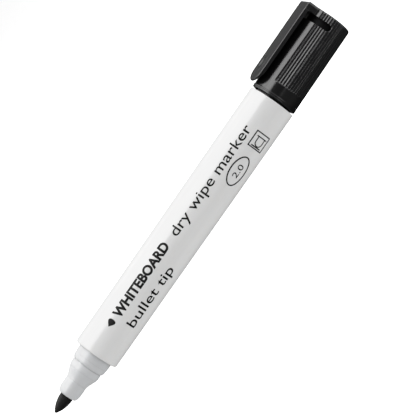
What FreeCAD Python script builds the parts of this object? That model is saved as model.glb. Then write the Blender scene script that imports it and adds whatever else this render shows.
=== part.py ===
import FreeCAD, Part
import math
import os

import Sketcher

# A whiteboard marker, lying along X with its cap posted on the tail.
#
# Frame (millimetres): the origin is the apex of the nib, on the pen's axis.
# +X runs from the nib to the closed end of the posted cap, +Z is the side the
# pocket clip faces, +Y completes the right-handed frame.
#
# The clip is moulded in one with the cap on the real pen; it is a solid of its
# own here so that it can flex at its root.

# Driving dimensions. Endings: _x, _y and _z are places on an axis, _r is a
# radius from the pen's axis, _round is the radius of an arc in an outline.
DIMS = dict(
    # nib: a pressed fibre rod with a bullet point
    nib_flat_r=0.10, nib_nose_x=0.26, nib_nose_r=0.48, nib_nose_round=0.50,
    nib_point_x=6.2, nib_point_round=10.85, nib_r=2.25,
    nib_length=39.0, nib_chamfer=0.4,
    # front section, outside: nozzle, cone, two steps and a collar
    nozzle_face_x=6.6, nozzle_face_r=2.85, nozzle_nose_x=8.9,
    nozzle_nose_round=3.505, nozzle_r=3.71, nozzle_end_x=11.9,
    cone_foot_x=13.0, cone_foot_r=3.94, cone_foot_round=2.78,
    cone_top_x=15.35, cone_top_r=4.98, cone_top_round=1.9,
    ring_x=16.3, ring_r=5.20, ring_end_x=17.8, ring_end_r=5.25,
    groove_x=17.95, groove_r=5.10, groove_end_x=18.15,
    step_x=18.25, step_r=5.45, step_top_x=18.95, step_top_r=5.73, step_round=0.85,
    collar_x=20.9, collar_r=5.95,
    # front section, the plug that snaps into the barrel
    plug_r=5.70, plug_end_x=34.0, plug_lead=0.5, plug_lead_drop=0.35,
    snap_x=29.0, snap_half=0.9, snap_rise=0.15,
    # front section, inside: the nib's bore, a vented bore, a core and ribs
    nib_fit=0.02, lip_length=1.3, lip_lead=0.3, vent_r=2.62,
    core_start_x=17.2, core_full_x=19.6, core_r=4.45,
    vent_rib_width=0.8, vent_rib_count=4, vent_rib_end_x=33.0,
    nozzle_rib_past=0.6, nozzle_rib_sink=0.35, core_rib_setback=0.5, core_rib_sink=0.15,
    # barrel: a drafted tube, open at the rear
    barrel_x=22.8, barrel_front_r=7.63, barrel_edge=0.6,
    barrel_end_x=121.4, barrel_rear_r=8.08, barrel_rear_edge=0.3,
    plug_fit=0.03, front_bore_end_x=32.9, main_bore_r=6.45, main_bore_rear_r=6.55,
    counterbore_x=119.6, counterbore_r=6.95,
    rib_inner_r=6.10, rib_width=0.8, rib_count=6,
    rib_start_x=38.0, rib_end_x=108.0, rib_root_r=6.8,
    # reservoir: a fibre rod in a plastic film sleeve
    reservoir_x=34.4, reservoir_end_x=112.0, reservoir_r=5.90, nib_pocket=5.4,
    film_fit=0.01, film_outer_r=6.05, film_margin=0.8,
    # end plug: closes the barrel and is the spigot that the cap posts on
    tail_x=112.6, tail_r=6.42, tail_lead=0.5,
    tail_neck_r=6.15, tail_neck_x=114.6, tail_neck_end_x=116.4,
    flange_x=119.7, flange_r=6.85, flange_end_x=121.3,
    spigot_r=5.95, spigot_end_x=130.0, spigot_edge=0.8,
    tail_core_r=4.85, tail_core_end_x=128.8, tail_dish_r=3.2, tail_dish=0.3,
    # cap shell, outside; its rim has the radius of the barrel's rear
    cap_x=122.0, cap_end_x=154.0, rim_edge=0.35, rim_band_x=123.1,
    cap_foot_x=123.3, cap_foot_r=7.97, cap_top_r=7.68, cap_top_edge=0.7,
    # cap shell, inside
    mouth_r=7.1, mouth_lead=0.4, mouth_bore_r=6.85, mouth_past=1.0,
    pocket_x=131.5, pocket_lead=0.5, pocket_r=6.25, cap_top_wall=1.5,
    grip_rib_r=6.00, grip_rib_width=1.0, grip_rib_count=8,
    grip_rib_x=122.9, grip_rib_end_x=131.3, grip_rib_root_r=7.2,
    # window between the cap's body and its head, and the head that carries the clip
    window_x=149.0, head_x=151.25, window_low=0.4, window_top=8.3,
    bridge_half=0.75, bridge_low_z=6.3, bridge_z=7.55, bridge_sink=0.15,
    clip_half=5.15, clip_outer_z=10.0, head_edge=0.4,
    # flutes: grip grooves along the cap, open at its closed end (angles in degrees)
    flute_count=37, flute_span=251.784, flute_first=52.6,
    flute_cut_r=0.36, flute_depth=0.24, flute_end_x=127.9,
    flute_out_x=126.6, flute_out_gap=0.05, flute_past=0.6,
    # clip: a flat tongue with a round root, a lead-in and an inner bead
    clip_root_r=0.75, root_gap=0.05, clip_tip_x=123.0, clip_tip_z=9.87,
    clip_round_x=127.2, clip_inner_z=8.5, lead_x=126.9, lead_z=9.2,
    bead_x=128.4, bead_half=1.0, bead_z=8.22,
    tongue_mid_x=124.2, tongue_mid_y=3.6, tongue_round=3.68, tongue_nose_round=6.0,
    # stock left round the clip's side profile, and the frame that trims it off
    tongue_past=1.2, tongue_spare=0.3, tip_past=0.5, trim_x=5.0, trim_z=4.0,
    # thumb dimple; dimple_drop allows for the slope of the outer face
    dimple_x=129.6, dimple_r=2.65, dimple=0.22, dimple_drop=0.1, dimple_above=0.5,
    # inner cap: seals on the nozzle when the cap is on the nib end
    inner_x=132.0, inner_end_x=152.4, inner_r=6.20, inner_lead=0.4, skirt_inner_r=5.30,
    floor_x=146.0, floor_end_x=147.2, seal_tube_r=4.90,
    seal_mouth_x=132.8, seal_mouth_r=4.55, seal_x=133.6, seal_r=3.76,
    seal_end_x=135.4, seal_relief_x=135.8, seal_room_r=4.0,
)
THROUGH_CUT = 60      # total length, along Y, of a cut right through a piece
EDGE_TOLERANCE = 1e-4  # for picking edges by their place
LEAST_CUT = 1e-3      # volume that any cut must at least remove

# the side of an arc's edge, seen along its direction, that its centre is on
LEFT, RIGHT = 1, -1

doc = FreeCAD.newDocument("whiteboard_marker")
sheet = doc.addObject("Spreadsheet::Sheet", "dims")
for row_number, (alias, value) in enumerate(DIMS.items(), start=1):
    sheet.set("A%d" % row_number, alias)
    sheet.set("B%d" % row_number, repr(value))
    sheet.setAlias("B%d" % row_number, alias)
doc.recompute()


# ----------------------------------------------------------------- lengths
class Length:
    """A number together with the sheet expression that gives it."""

    def __init__(self, number, text):
        self.number = number
        self.text = text

    def __add__(self, other):
        other = as_length(other)
        return Length(self.number + other.number, "(%s + %s)" % (self.text, other.text))

    def __sub__(self, other):
        other = as_length(other)
        return Length(self.number - other.number, "(%s - %s)" % (self.text, other.text))

    def __mul__(self, other):
        other = as_length(other)
        return Length(self.number * other.number, "(%s * %s)" % (self.text, other.text))

    def __truediv__(self, other):
        other = as_length(other)
        return Length(self.number / other.number, "(%s / %s)" % (self.text, other.text))

    def __neg__(self):
        return Length(-self.number, "(-%s)" % self.text)


def as_length(value):
    return value if isinstance(value, Length) else Length(value, "%g" % value)


class Dims:
    """Gives every alias of the sheet as a Length."""

    def __getattr__(self, alias):
        return Length(DIMS[alias], "dims." + alias)


dim = Dims()
nib_bore_r = dim.nib_r + dim.nib_fit
front_bore_r = dim.plug_r + dim.plug_fit


# ---------------------------------------------------------------- sketches
def new_body(name):
    body = doc.addObject("PartDesign::Body", name)
    body.Label = name
    return body


def origin_of(body, role):
    return [f for f in body.Origin.OriginFeatures if f.Role == role][0]


def new_sketch(body, name, role, offset=None):
    sketch = body.newObject("Sketcher::SketchObject", name)
    sketch.AttachmentSupport = [(origin_of(body, role), "")]
    sketch.MapMode = "FlatFace"
    if offset:
        sketch.setExpression("AttachmentOffset.Base.z", offset.text)
    return sketch


def constrain(sketch, label, text, *constraint):
    """Add a named constraint and bind it to the sheet."""
    index = sketch.addConstraint(Sketcher.Constraint(*constraint))
    sketch.renameConstraint(index, label)
    sketch.setExpression("Constraints." + label, text)


def pin_point(sketch, geo, pos, x, y, tag):
    """Fix one point of a sketch at (x, y)."""
    for value, kind, ending, axis in ((x, "DistanceX", "_across", -2),
                                      (y, "DistanceY", "_up", -1)):
        number = value.number
        if abs(number) < 1e-9:
            sketch.addConstraint(Sketcher.Constraint("PointOnObject", geo, pos, axis))
        elif number > 0:
            constrain(sketch, tag + ending, value.text, kind, -1, 1, geo, pos, number)
        else:
            constrain(sketch, tag + ending, (-value).text, kind, geo, pos, -1, 1, -number)


def arc_between(start, end, radius, side):
    """The arc from start to end, with its centre on the given side."""
    half = (end - start).Length / 2.0
    normal = FreeCAD.Vector(-(end - start).y, (end - start).x, 0).normalize()
    centre = (start + end) * 0.5 + normal * (side * math.sqrt(radius ** 2 - half ** 2))
    # an arc always runs anticlockwise, so one centred on the right is drawn from its end
    first, last = (start, end) if side == LEFT else (end, start)
    low = math.atan2(first.y - centre.y, first.x - centre.x)
    high = math.atan2(last.y - centre.y, last.x - centre.x)
    if high < low:
        high += 2 * math.pi
    circle = Part.Circle(centre, FreeCAD.Vector(0, 0, 1), radius)
    return Part.ArcOfCircle(circle, low, high)


def outline(sketch, rows, tag="p"):
    """Draw a closed loop. A row is a corner's two coordinates and, where the edge
    that leaves it is an arc, the arc's radius and the side of its centre."""
    points = [(as_length(row[0]), as_length(row[1])) for row in rows]
    arcs = {i: row[2:] for i, row in enumerate(rows) if len(row) > 2}
    corners = [FreeCAD.Vector(x.number, y.number, 0) for x, y in points]
    count = len(points)
    base = sketch.GeometryCount
    ends = []
    for i in range(count):
        start, end = corners[i], corners[(i + 1) % count]
        if i in arcs:
            radius, side = arcs[i]
            sketch.addGeometry(arc_between(start, end, radius.number, side), False)
            ends.append((1, 2) if side == LEFT else (2, 1))
        else:
            sketch.addGeometry(Part.LineSegment(start, end), False)
            ends.append((1, 2))
    for i in range(count):
        j = (i + 1) % count
        sketch.addConstraint(Sketcher.Constraint(
            "Coincident", base + i, ends[i][1], base + j, ends[j][0]))
    for i, (x, y) in enumerate(points):
        pin_point(sketch, base + i, ends[i][0], x, y, "%s%d" % (tag, i))
    for i, (radius, side) in arcs.items():
        constrain(sketch, "%s%d_round" % (tag, i), radius.text,
                  "Radius", base + i, radius.number)


def ring(sketch, x, y, radius):
    """Draw a circle about (x, y)."""
    x, y = as_length(x), as_length(y)
    centre = FreeCAD.Vector(x.number, y.number, 0)
    circle = Part.Circle(centre, FreeCAD.Vector(0, 0, 1), radius.number)
    geo = sketch.addGeometry(circle, False)
    pin_point(sketch, geo, 3, x, y, "c")
    constrain(sketch, "c_round", radius.text, "Radius", geo, radius.number)


# ---------------------------------------------------------------- features
def revolve(body, name, rows, kind="PartDesign::Revolution"):
    """Turn a closed profile, rows of (x, radius), about the pen's axis."""
    sketch = new_sketch(body, name + "_profile", "XZ_Plane")
    outline(sketch, rows)
    feature = body.newObject(kind, name)
    feature.Profile = sketch
    feature.ReferenceAxis = (sketch, ["H_Axis"])
    feature.Angle = 360
    doc.recompute()
    return feature


def pad_sketch(body, name, sketch, length):
    pad = body.newObject("PartDesign::Pad", name)
    pad.Profile = sketch
    pad.setExpression("Length", length.text)
    doc.recompute()
    return pad


def bar(body, name, start_x, end_x, half_width, low_z, high_z):
    """A rectangular bar along X, centred on Y = 0."""
    sketch = new_sketch(body, name + "_section", "YZ_Plane", start_x)
    outline(sketch, [
        (-half_width, low_z),
        (half_width, low_z),
        (half_width, high_z),
        (-half_width, high_z),
    ])
    return pad_sketch(body, name, sketch, end_x - start_x)


def around(body, name, feature, count, span=None):
    """Repeat a feature about the pen's axis, over a full turn unless given a span."""
    pattern = body.newObject("PartDesign::PolarPattern", name)
    pattern.Originals = [feature]
    pattern.Axis = (origin_of(body, "X_Axis"), [""])
    if span:
        pattern.setExpression("Angle", span.text)
    else:
        pattern.Angle = 360
    pattern.setExpression("Occurrences", count.text)
    body.Tip = pattern
    doc.recompute()


def rib_ring(body, name, start_x, end_x, width, inner_r, root_r, count):
    """Ribs along X, spaced evenly about the axis."""
    rib = bar(body, name, start_x, end_x, width / 2, inner_r, root_r)
    around(body, name + "s", rib, count)


def finish_cut(feature, volume_before):
    """Recompute a cut, and stop if it missed the solid."""
    doc.recompute()
    if not feature.Shape.Volume < volume_before - LEAST_CUT:
        raise RuntimeError("%s removed nothing" % feature.Name)


def cut_through(body, name, sketch):
    """Cut a sketch of the XZ plane right through the piece, both ways along Y."""
    before = body.Tip.Shape.Volume
    pocket = body.newObject("PartDesign::Pocket", name)
    pocket.Profile = sketch
    pocket.Midplane = True
    pocket.Length = THROUGH_CUT
    finish_cut(pocket, before)


# -------------------------------------------------------- pieces of the pen
def make_nib():
    revolve(new_body("nib"), "nib_rod", [
        (0, 0),
        (0, dim.nib_flat_r, dim.nib_nose_round, RIGHT),
        (dim.nib_nose_x, dim.nib_nose_r, dim.nib_point_round, RIGHT),
        (dim.nib_point_x, dim.nib_r),
        (dim.nib_length - dim.nib_chamfer, dim.nib_r),
        (dim.nib_length, dim.nib_r - dim.nib_chamfer),
        (dim.nib_length, 0),
    ])


def make_front_section():
    front = new_body("front_section")
    lip_end_x = dim.nozzle_face_x + dim.lip_length
    revolve(front, "nozzle", [
        # outside, from the nozzle's face to the collar
        (dim.nozzle_face_x, nib_bore_r),
        (dim.nozzle_face_x, dim.nozzle_face_r, dim.nozzle_nose_round, RIGHT),
        (dim.nozzle_nose_x, dim.nozzle_r),
        (dim.nozzle_end_x, dim.nozzle_r, dim.cone_foot_round, LEFT),
        (dim.cone_foot_x, dim.cone_foot_r),
        (dim.cone_top_x, dim.cone_top_r, dim.cone_top_round, RIGHT),
        (dim.ring_x, dim.ring_r),
        (dim.ring_end_x, dim.ring_end_r),
        (dim.groove_x, dim.groove_r),
        (dim.groove_end_x, dim.groove_r),
        (dim.step_x, dim.step_r, dim.step_round, RIGHT),
        (dim.step_top_x, dim.step_top_r),
        (dim.collar_x, dim.collar_r),
        (dim.barrel_x, dim.collar_r),
        # the plug, with its snap ridge
        (dim.barrel_x, dim.plug_r),
        (dim.snap_x - dim.snap_half, dim.plug_r),
        (dim.snap_x, dim.plug_r + dim.snap_rise),
        (dim.snap_x + dim.snap_half, dim.plug_r),
        (dim.plug_end_x - dim.plug_lead, dim.plug_r),
        (dim.plug_end_x, dim.plug_r - dim.plug_lead_drop),
        # inside, back to the lip
        (dim.plug_end_x, dim.core_r),
        (dim.core_full_x, dim.core_r),
        (dim.core_start_x, dim.vent_r),
        (lip_end_x, dim.vent_r),
        (lip_end_x - dim.lip_lead, nib_bore_r),
    ])
    rib_ring(front, "nozzle_vent_rib", lip_end_x, dim.core_start_x + dim.nozzle_rib_past,
             dim.vent_rib_width, nib_bore_r, dim.vent_r + dim.nozzle_rib_sink,
             dim.vent_rib_count)
    rib_ring(front, "core_vent_rib", dim.core_start_x + dim.core_rib_setback,
             dim.vent_rib_end_x, dim.vent_rib_width, nib_bore_r,
             dim.core_r + dim.core_rib_sink, dim.vent_rib_count)


def make_barrel():
    barrel = new_body("barrel")
    revolve(barrel, "tube", [
        (dim.barrel_x, front_bore_r),
        (dim.barrel_x, dim.barrel_front_r - dim.barrel_edge, dim.barrel_edge, RIGHT),
        (dim.barrel_x + dim.barrel_edge, dim.barrel_front_r),
        (dim.barrel_end_x - dim.barrel_rear_edge, dim.barrel_rear_r,
         dim.barrel_rear_edge, RIGHT),
        (dim.barrel_end_x, dim.barrel_rear_r - dim.barrel_rear_edge),
        (dim.barrel_end_x, dim.counterbore_r),
        (dim.counterbore_x, dim.counterbore_r),
        (dim.counterbore_x, dim.main_bore_rear_r),
        (dim.plug_end_x, dim.main_bore_r),
        (dim.front_bore_end_x, front_bore_r),
        # the snap groove that takes the front section's ridge
        (dim.snap_x + dim.snap_half, front_bore_r),
        (dim.snap_x, front_bore_r + dim.snap_rise),
        (dim.snap_x - dim.snap_half, front_bore_r),
    ])
    rib_ring(barrel, "centring_rib", dim.rib_start_x, dim.rib_end_x,
             dim.rib_width, dim.rib_inner_r, dim.rib_root_r, dim.rib_count)


def make_reservoir():
    pocket_end_x = dim.reservoir_x + dim.nib_pocket
    revolve(new_body("reservoir_core"), "fibre_rod", [
        (dim.reservoir_x, nib_bore_r),
        (dim.reservoir_x, dim.reservoir_r),
        (dim.reservoir_end_x, dim.reservoir_r),
        (dim.reservoir_end_x, 0),
        (pocket_end_x, 0),
        (pocket_end_x, nib_bore_r),
    ])
    film_x = dim.reservoir_x + dim.film_margin
    film_end_x = dim.reservoir_end_x - dim.film_margin
    film_inner_r = dim.reservoir_r + dim.film_fit
    revolve(new_body("reservoir_film"), "film_sleeve", [
        (film_x, film_inner_r),
        (film_x, dim.film_outer_r),
        (film_end_x, dim.film_outer_r),
        (film_end_x, film_inner_r),
    ])


def make_end_plug():
    dish_x = dim.spigot_end_x - dim.tail_dish
    revolve(new_body("end_plug"), "tail", [
        (dim.tail_x, dim.tail_core_r),
        (dim.tail_x, dim.tail_r - dim.tail_lead),
        (dim.tail_x + dim.tail_lead, dim.tail_r),
        (dim.tail_neck_x, dim.tail_r),
        (dim.tail_neck_x, dim.tail_neck_r),
        (dim.tail_neck_end_x, dim.tail_neck_r),
        (dim.tail_neck_end_x, dim.tail_r),
        (dim.flange_x, dim.tail_r),
        (dim.flange_x, dim.flange_r),
        (dim.flange_end_x, dim.flange_r),
        (dim.flange_end_x, dim.spigot_r),
        (dim.spigot_end_x - dim.spigot_edge, dim.spigot_r, dim.spigot_edge, RIGHT),
        (dim.spigot_end_x, dim.spigot_r - dim.spigot_edge),
        (dim.spigot_end_x, dim.tail_dish_r),
        (dish_x, dim.tail_dish_r - dim.tail_dish),
        (dish_x, 0),
        (dim.tail_core_end_x, 0),
        (dim.tail_core_end_x, dim.tail_core_r),
    ])


# -------------------------------------------------------- pieces of the cap
def make_inner_cap():
    revolve(new_body("inner_cap"), "seal_cup", [
        # outer skirt
        (dim.floor_end_x, 0),
        (dim.floor_end_x, dim.skirt_inner_r),
        (dim.inner_end_x, dim.skirt_inner_r),
        (dim.inner_end_x, dim.inner_r),
        (dim.inner_x + dim.inner_lead, dim.inner_r),
        (dim.inner_x, dim.inner_r - dim.inner_lead),
        (dim.inner_x, dim.skirt_inner_r),
        (dim.floor_x, dim.skirt_inner_r),
        # seal tube
        (dim.floor_x, dim.seal_tube_r),
        (dim.seal_mouth_x, dim.seal_tube_r),
        (dim.seal_mouth_x, dim.seal_mouth_r),
        (dim.seal_x, dim.seal_r),
        (dim.seal_end_x, dim.seal_r),
        (dim.seal_relief_x, dim.seal_room_r),
        (dim.floor_x, dim.seal_room_r),
        (dim.floor_x, 0),
    ])


def add_cap_outside(cap):
    rim_r = dim.barrel_rear_r
    revolve(cap, "cap_outside", [
        (dim.cap_x, 0),
        (dim.cap_x, rim_r - dim.rim_edge, dim.rim_edge, RIGHT),
        (dim.cap_x + dim.rim_edge, rim_r),
        (dim.rim_band_x, rim_r),
        (dim.cap_foot_x, dim.cap_foot_r),
        (dim.cap_end_x - dim.cap_top_edge, dim.cap_top_r, dim.cap_top_edge, RIGHT),
        (dim.cap_end_x, dim.cap_top_r - dim.cap_top_edge),
        (dim.cap_end_x, 0),
    ])
    head = bar(cap, "clip_head", dim.head_x, dim.cap_end_x,
               dim.clip_half, 0, dim.clip_outer_z)
    # round the head's outer corners and the edge it shares with the closed end
    wanted = []
    for i, edge in enumerate(head.Shape.Edges, start=1):
        box = edge.BoundBox
        side = (abs(abs(box.YMin) - DIMS["clip_half"]) < EDGE_TOLERANCE
                and abs(box.YMax - box.YMin) < EDGE_TOLERANCE)
        high = box.ZMin > DIMS["clip_outer_z"] - EDGE_TOLERANCE
        closed_end = box.XMin > DIMS["cap_end_x"] - EDGE_TOLERANCE
        if high and (side or closed_end):
            wanted.append("Edge%d" % i)
    rounding = cap.newObject("PartDesign::Fillet", "head_rounding")
    rounding.Base = (head, wanted)
    rounding.setExpression("Radius", dim.head_edge.text)
    doc.recompute()


def cut_cap_inside(cap):
    before = cap.Tip.Shape.Volume
    inside_end_x = dim.cap_end_x - dim.cap_top_wall
    inside = revolve(cap, "cap_inside", [
        (dim.cap_x - dim.mouth_past, 0),
        (dim.cap_x - dim.mouth_past, dim.mouth_r),
        (dim.cap_x, dim.mouth_r),
        (dim.cap_x + dim.mouth_lead, dim.mouth_bore_r),
        (dim.pocket_x, dim.mouth_bore_r),
        (dim.pocket_x + dim.pocket_lead, dim.pocket_r),
        (inside_end_x, dim.pocket_r),
        (inside_end_x, 0),
    ], kind="PartDesign::Groove")
    finish_cut(inside, before)


def cut_window(cap):
    """Open the cap between its body and its head, and cut the clip's socket."""
    # the window's lower end is a half round made of two quarter arcs
    half_gap = (dim.head_x - dim.window_x) / 2
    round_z = half_gap - dim.window_low
    section = new_sketch(cap, "window_section", "XZ_Plane")
    outline(section, [
        (dim.window_x, round_z, half_gap, LEFT),
        (dim.window_x + half_gap, -dim.window_low, half_gap, LEFT),
        (dim.head_x, round_z),
        (dim.head_x, dim.window_top),
        (dim.window_x, dim.window_top),
    ])
    cut_through(cap, "window", section)

    # a narrow bridge of the cap's wall parts the window in two, under the clip
    bar(cap, "window_bridge", dim.window_x - dim.bridge_sink, dim.head_x + dim.bridge_sink,
        dim.bridge_half, dim.bridge_low_z, dim.bridge_z)

    # the socket the clip's round root turns in
    section = new_sketch(cap, "clip_socket_section", "XZ_Plane")
    ring(section, dim.head_x, dim.clip_outer_z - dim.clip_root_r,
         dim.clip_root_r + dim.root_gap)
    cut_through(cap, "clip_socket", section)


def flute_section(cap, name, x, rise=0):
    """A circle across the pen, at flute_first from +Z towards +Y, whose deepest
    point is flute_depth under the cap's drafted side, less rise."""
    sketch = new_sketch(cap, name, "YZ_Plane", x)
    slope = (dim.cap_foot_r - dim.cap_top_r) / (
        dim.cap_end_x - dim.cap_top_edge - dim.cap_foot_x)
    centre_r = (dim.cap_foot_r - slope * (x - dim.cap_foot_x)
                - dim.flute_depth + dim.flute_cut_r + rise)
    turn = math.radians(DIMS["flute_first"])
    ring(sketch,
         centre_r * Length(math.sin(turn), "sin(dims.flute_first)"),
         centre_r * Length(math.cos(turn), "cos(dims.flute_first)"),
         dim.flute_cut_r)
    return sketch


def cut_flutes(cap):
    """Loft one flute that runs out of the side near the rim, and repeat it."""
    before = cap.Tip.Shape.Volume
    runout = flute_section(cap, "flute_runout", dim.flute_out_x,
                           dim.flute_depth + dim.flute_out_gap)
    foot = flute_section(cap, "flute_foot", dim.flute_end_x)
    top = flute_section(cap, "flute_top", dim.cap_end_x + dim.flute_past)
    flute = cap.newObject("PartDesign::SubtractiveLoft", "flute")
    flute.Profile = runout
    flute.Sections = [foot, top]
    flute.Ruled = True
    finish_cut(flute, before)
    around(cap, "flutes", flute, dim.flute_count, dim.flute_span)


def make_cap_shell():
    cap = new_body("cap_shell")
    add_cap_outside(cap)
    cut_cap_inside(cap)
    cut_window(cap)
    cut_flutes(cap)
    rib_ring(cap, "grip_rib", dim.grip_rib_x, dim.grip_rib_end_x, dim.grip_rib_width,
             dim.grip_rib_r, dim.grip_rib_root_r, dim.grip_rib_count)


def make_cap_clip():
    clip = new_body("cap_clip")
    root_x = dim.head_x + dim.tongue_past
    plan = new_sketch(clip, "tongue_plan", "XY_Plane", dim.bead_z - dim.tongue_spare)
    outline(plan, [
        (root_x, -dim.clip_half),
        (root_x, dim.clip_half),
        (dim.clip_round_x, dim.clip_half, dim.tongue_round, LEFT),
        (dim.tongue_mid_x, dim.tongue_mid_y, dim.tongue_nose_round, LEFT),
        (dim.clip_tip_x, 0, dim.tongue_nose_round, LEFT),
        (dim.tongue_mid_x, -dim.tongue_mid_y, dim.tongue_round, LEFT),
        (dim.clip_round_x, -dim.clip_half),
    ])
    pad_sketch(clip, "tongue", plan, dim.clip_outer_z - dim.bead_z + dim.tongue_spare * 2)

    # trim the tongue to its side profile: the loop inside the frame is what stays
    trim = new_sketch(clip, "side_trim_section", "XZ_Plane")
    outline(trim, [
        (dim.clip_tip_x - dim.trim_x, dim.clip_inner_z - dim.trim_z),
        (dim.head_x + dim.trim_x, dim.clip_inner_z - dim.trim_z),
        (dim.head_x + dim.trim_x, dim.clip_outer_z + dim.trim_z),
        (dim.clip_tip_x - dim.trim_x, dim.clip_outer_z + dim.trim_z),
    ])
    outline(trim, [
        (dim.head_x, dim.clip_inner_z, dim.clip_root_r, LEFT),
        (dim.head_x + dim.clip_root_r, dim.clip_outer_z - dim.clip_root_r,
         dim.clip_root_r, LEFT),
        (dim.head_x, dim.clip_outer_z),
        (dim.clip_tip_x - dim.tip_past, dim.clip_tip_z),
        (dim.clip_tip_x - dim.tip_past, dim.lead_z),
        (dim.lead_x, dim.clip_inner_z),
        (dim.bead_x - dim.bead_half, dim.clip_inner_z),
        (dim.bead_x, dim.bead_z),
        (dim.bead_x + dim.bead_half, dim.clip_inner_z),
    ], tag="q")
    cut_through(clip, "side_trim", trim)

    # a shallow thumb dimple on the outer face
    before = clip.Tip.Shape.Volume
    mark = new_sketch(clip, "dimple_outline", "XY_Plane", dim.clip_outer_z + dim.dimple_above)
    ring(mark, dim.dimple_x, 0, dim.dimple_r)
    dimple = clip.newObject("PartDesign::Pocket", "thumb_dimple")
    dimple.Profile = mark
    dimple.setExpression("Length", (dim.dimple + dim.dimple_drop + dim.dimple_above).text)
    finish_cut(dimple, before)


# ------------------------------------------------------------ build, write
make_nib()
make_front_section()
make_barrel()
make_reservoir()
make_end_plug()
make_inner_cap()
make_cap_shell()
make_cap_clip()
doc.recompute()

for item in doc.Objects:
    state = list(item.State)
    if "Invalid" in state or "Error" in state:
        raise RuntimeError("%s failed: %s" % (item.Name, state))

bodies = [item for item in doc.Objects if item.TypeId == "PartDesign::Body"]
for body in bodies:
    shape = body.Shape
    if shape.isNull() or not shape.isValid() or len(shape.Solids) != 1:
        raise RuntimeError("%s is not one valid solid" % body.Label)

os.makedirs("parts", exist_ok=True)
for body in bodies:
    body.Shape.exportStep("parts/%s.step" % body.Label)
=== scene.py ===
"""A capped whiteboard marker: barrel, nib holder, nib, ink reservoir, tail plug, cap with
its clip and seal cup, and the print on the barrel, with a floor, lights and a camera.

The pen lies along X: the nib's apex is at the origin, the cap's closed end is at +X and
the clip faces +Z. Pieces are worked out in millimetres and become metres in make_object.
Floor, lights and camera are in metres."""

import math

import bmesh
import bpy
import numpy as np
from mathutils import Matrix, Vector


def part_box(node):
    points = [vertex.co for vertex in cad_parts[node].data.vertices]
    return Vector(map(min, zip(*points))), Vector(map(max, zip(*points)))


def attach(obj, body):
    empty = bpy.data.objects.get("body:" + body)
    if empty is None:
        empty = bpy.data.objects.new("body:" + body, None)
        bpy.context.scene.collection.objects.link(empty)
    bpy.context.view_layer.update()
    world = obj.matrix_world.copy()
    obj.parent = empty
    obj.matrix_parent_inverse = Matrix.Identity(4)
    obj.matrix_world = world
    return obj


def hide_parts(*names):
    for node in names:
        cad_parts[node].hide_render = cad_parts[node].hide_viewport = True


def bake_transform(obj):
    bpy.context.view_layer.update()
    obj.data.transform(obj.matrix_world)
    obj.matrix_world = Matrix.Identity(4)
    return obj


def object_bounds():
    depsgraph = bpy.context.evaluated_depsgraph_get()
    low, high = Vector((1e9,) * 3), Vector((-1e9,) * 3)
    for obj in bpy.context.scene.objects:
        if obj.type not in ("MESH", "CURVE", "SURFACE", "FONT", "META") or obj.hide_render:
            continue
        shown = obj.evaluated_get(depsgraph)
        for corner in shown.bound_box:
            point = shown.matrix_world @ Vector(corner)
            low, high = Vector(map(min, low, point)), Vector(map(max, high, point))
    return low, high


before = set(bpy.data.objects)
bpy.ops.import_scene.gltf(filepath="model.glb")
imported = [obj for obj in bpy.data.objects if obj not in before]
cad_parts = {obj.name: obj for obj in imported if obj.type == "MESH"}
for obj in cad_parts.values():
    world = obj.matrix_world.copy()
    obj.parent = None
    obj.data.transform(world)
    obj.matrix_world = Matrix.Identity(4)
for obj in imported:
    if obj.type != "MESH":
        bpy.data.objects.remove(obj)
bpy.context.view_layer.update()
MM = 0.001
FULL_TURN = 2 * math.pi


# ---------------------------------------------------------------- frame sizes
def span(node):
    """(x0, x1, largest |y|, largest z) of a CAD node, in millimetres."""
    lo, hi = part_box(node)
    return lo.x / MM, hi.x / MM, max(abs(lo.y), abs(hi.y)) / MM, hi.z / MM


NIB_X0, NIB_X1, NIB_R, _ = span("nib")
TIP_X0, _, _, _ = span("front_section")
BAR_X0, BAR_X1, BAR_R1, _ = span("barrel")
BAR_R0 = BAR_R1 - 0.45
CAP_X0, CAP_X1, RIM_R, HEAD_Z = span("cap_shell")
CLIP_X0, _, CLIP_HALF, _ = span("cap_clip")
PLUG_X0, PLUG_X1, FLANGE_R, _ = span("end_plug")
LINER_X0, LINER_X1, LINER_R, _ = span("inner_cap")
CORE_X0, CORE_X1, CORE_R, _ = span("reservoir_core")
FILM_X0, FILM_X1, FILM_R, _ = span("reservoir_film")


# ------------------------------------------------------------------ mesh tools
def make_object(name, verts, faces, material, normals=None, sharp=None):
    """A smooth-shaded object from millimetre vertices. sharp is the crease angle in
    degrees, normals are custom vertex normals."""
    mesh = bpy.data.meshes.new(name)
    mesh.from_pydata([tuple(v) for v in np.asarray(verts, float) * MM], [], faces)
    mesh.validate(verbose=False)
    bm = bmesh.new()
    bm.from_mesh(mesh)
    bmesh.ops.recalc_face_normals(bm, faces=bm.faces)
    bm.to_mesh(mesh)
    bm.free()
    mesh.polygons.foreach_set("use_smooth", [True] * len(mesh.polygons))
    if sharp:
        mesh.set_sharp_from_angle(angle=math.radians(sharp))
    if normals is not None:
        mesh.normals_split_custom_set_from_vertices([tuple(n) for n in normals])
    mesh.update()
    obj = bpy.data.objects.new(name, mesh)
    bpy.context.scene.collection.objects.link(obj)
    mesh.materials.append(material)
    return obj


def register(obj, node=None, rides="marker"):
    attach(obj, rides)
    if node:
        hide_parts(node)


def at(start, points):
    """Profile points with their x measured from start."""
    return [(start + point[0], *point[1:]) for point in points]


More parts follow.
